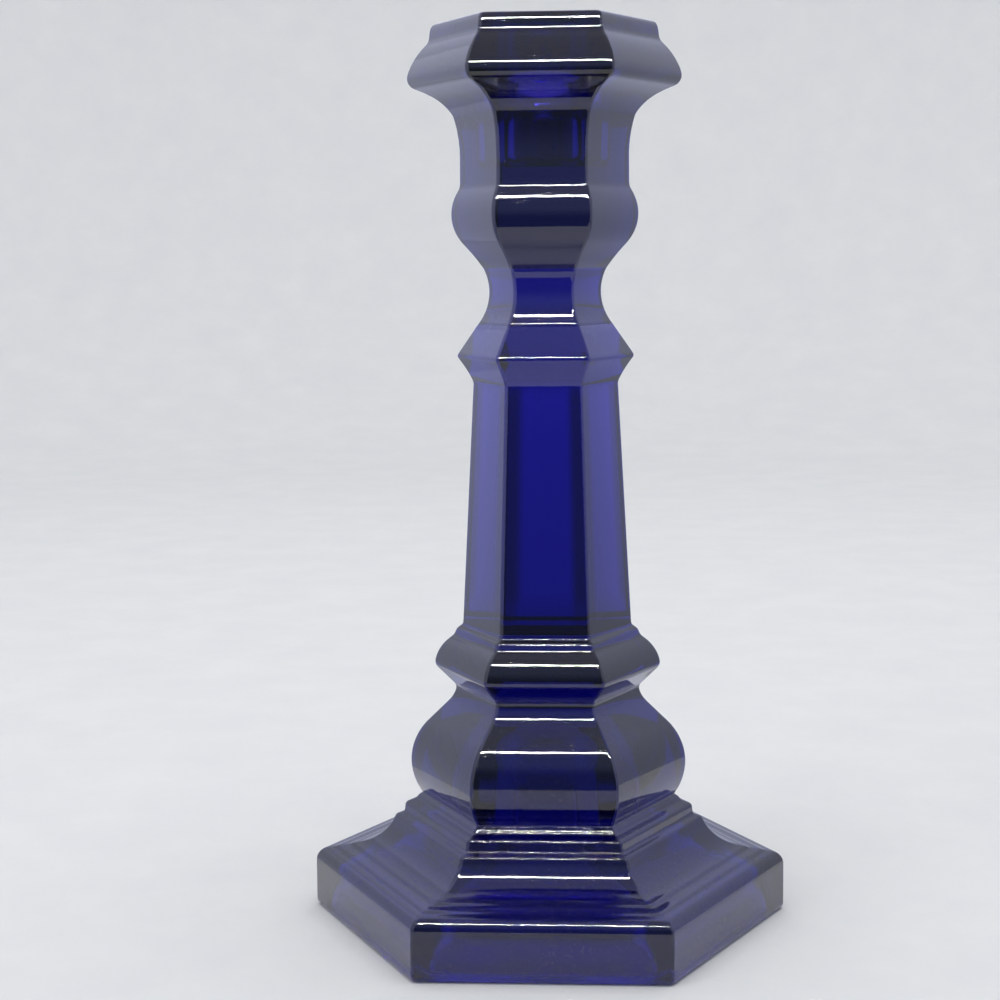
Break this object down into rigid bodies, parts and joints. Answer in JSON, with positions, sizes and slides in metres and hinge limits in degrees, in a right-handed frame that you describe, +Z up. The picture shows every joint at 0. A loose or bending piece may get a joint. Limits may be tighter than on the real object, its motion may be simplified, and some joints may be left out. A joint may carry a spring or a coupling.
{
  "type": "candlestick",
  "caption": "Hexagonal pressed-glass candlestick with a flared rim, waisted neck, tapered column and hollow stepped foot.",
  "frame": {"origin": "centre of the foot, on the surface the candlestick stands on", "axes": "+Z up along the candle's axis; one flat of the hexagon faces -Y and two corners lie on X"},
  "size_m": [0.1234, 0.1074, 0.2286],
  "materials": {
    "cobalt_glass": "fire-polished pressed glass, deep cobalt blue"
  },
  "bodies": {
    "root": {"candle_socket": "cobalt_glass", "joining_wafer": "cobalt_glass", "standard_and_foot": "cobalt_glass"}
  },
  "joints": []
}
